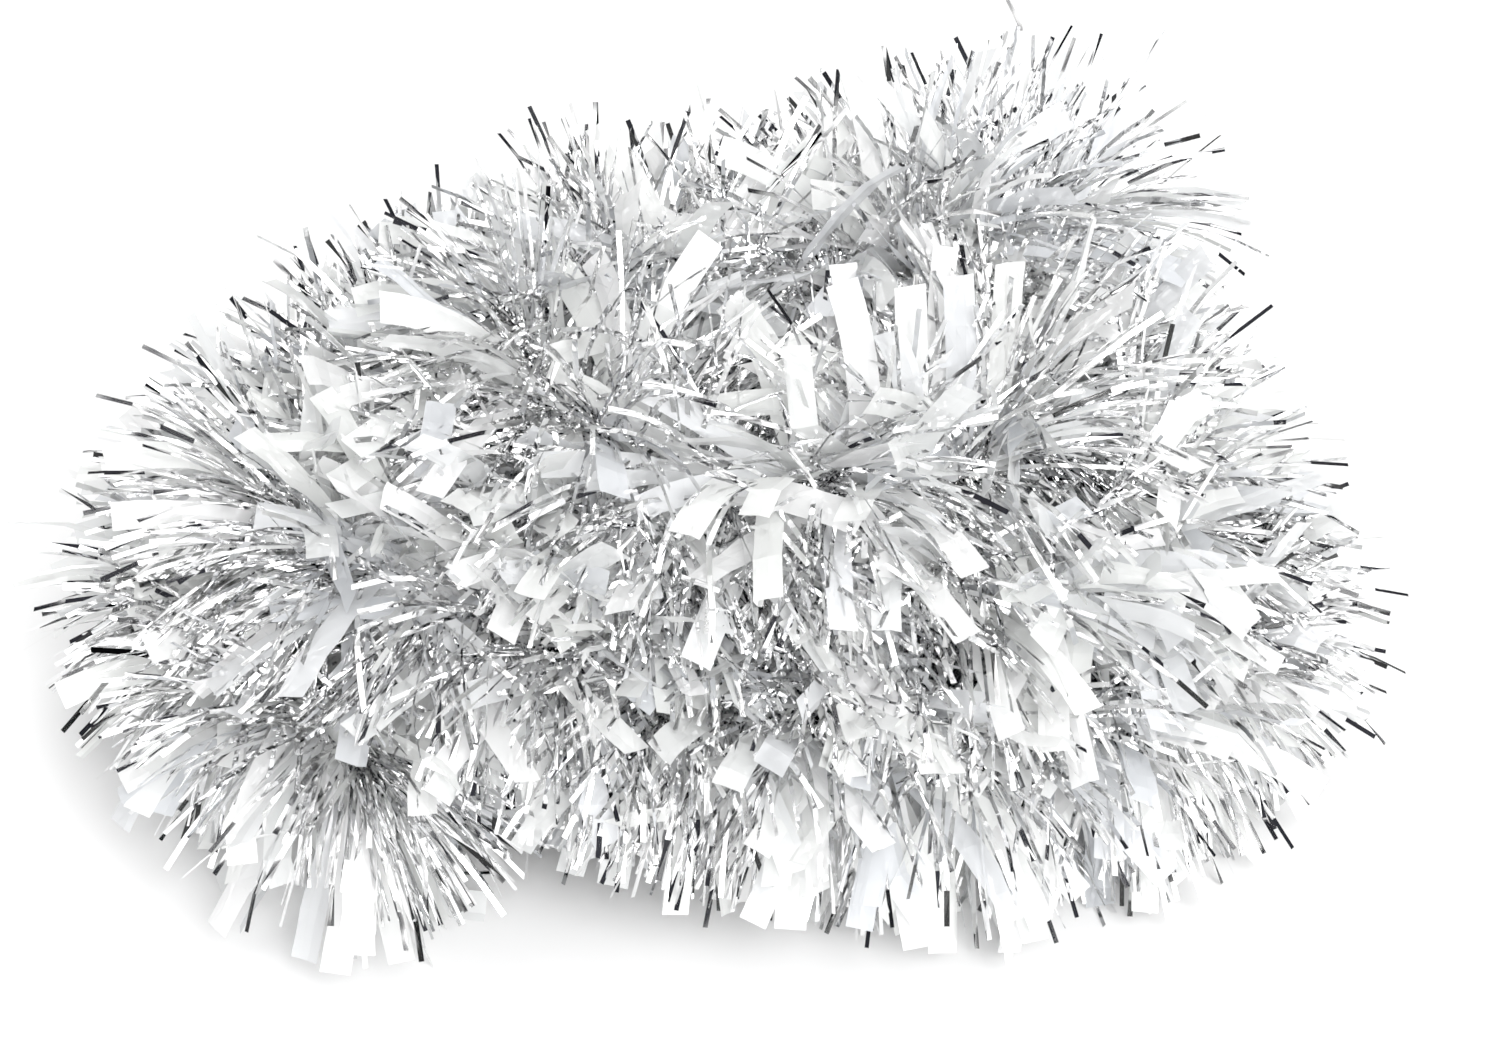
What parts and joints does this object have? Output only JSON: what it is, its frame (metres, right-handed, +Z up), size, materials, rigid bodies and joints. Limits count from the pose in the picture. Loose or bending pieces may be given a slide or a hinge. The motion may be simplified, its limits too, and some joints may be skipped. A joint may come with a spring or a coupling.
{
  "type": "feather boa",
  "caption": "Tinsel boa in a loose coiled pile: narrow silver strips and wide pearl-white film strips round a twisted cord, both ends flex.",
  "frame": {"origin": "on the surface that the pile lies on, under the middle of the pile's bounding box", "axes": "+Z up, +X to the right along the pile's long side, -Y towards the front"},
  "size_m": [0.3592, 0.2426, 0.1717],
  "materials": {
    "silver_tinsel": "metallised film, mirror bright, kinked",
    "pearl_film": "pearl white film, glossy, slightly translucent",
    "core_cord": "twisted two-ply cord",
    "binding_thread": "whipped thread"
  },
  "bodies": {
    "coil": {"core_coil": "core_cord", "pearl_strips_03": "pearl_film", "pearl_strips_04": "pearl_film", "pearl_strips_05": "pearl_film", "pearl_strips_06": "pearl_film", "pearl_strips_07": "pearl_film", "pearl_strips_08": "pearl_film", "pearl_strips_09": "pearl_film", "pearl_strips_10": "pearl_film", "pearl_strips_11": "pearl_film", "pearl_strips_12": "pearl_film", "pearl_strips_13": "pearl_film", "pearl_strips_14": "pearl_film", "pearl_strips_15": "pearl_film", "pearl_strips_16": "pearl_film", "pearl_strips_17": "pearl_film", "pearl_strips_18": "pearl_film", "pearl_strips_19": "pearl_film", "pearl_strips_20": "pearl_film", "pearl_strips_21": "pearl_film", "pearl_strips_22": "pearl_film", "silver_tinsel_03": "silver_tinsel", "silver_tinsel_04": "silver_tinsel", "silver_tinsel_05": "silver_tinsel", "silver_tinsel_06": "silver_tinsel", "silver_tinsel_07": "silver_tinsel", "silver_tinsel_08": "silver_tinsel", "silver_tinsel_09": "silver_tinsel", "silver_tinsel_10": "silver_tinsel", "silver_tinsel_11": "silver_tinsel", "silver_tinsel_12": "silver_tinsel", "silver_tinsel_13": "silver_tinsel", "silver_tinsel_14": "silver_tinsel", "silver_tinsel_15": "silver_tinsel", "silver_tinsel_16": "silver_tinsel", "silver_tinsel_17": "silver_tinsel", "silver_tinsel_18": "silver_tinsel", "silver_tinsel_19": "silver_tinsel", "silver_tinsel_20": "silver_tinsel", "silver_tinsel_21": "silver_tinsel", "silver_tinsel_22": "silver_tinsel"},
    "front_end": {"core_front_end": "core_cord", "end_binding_front": "binding_thread", "pearl_strips_01": "pearl_film", "silver_tinsel_01": "silver_tinsel", "silver_tinsel_02": "silver_tinsel"},
    "rear_end": {"core_rear_end": "core_cord", "end_binding_rear": "binding_thread", "pearl_strips_23": "pearl_film", "silver_tinsel_23": "silver_tinsel", "silver_tinsel_24": "silver_tinsel"}
  },
  "joints": [
    {"name": "front_end_swing", "type": "hinge", "parent": "coil", "child": "front_end", "pos_m": [-0.1277, -0.0032, 0.0438], "axis": [0, 0, -1], "range_deg": [0, 40]},
    {"name": "rear_end_lift", "type": "hinge", "parent": "coil", "child": "rear_end", "pos_m": [0.0225, 0.0236, 0.1203], "axis": [0.3591, -0.9333, 0], "range_deg": [0, 45]}
  ]
}
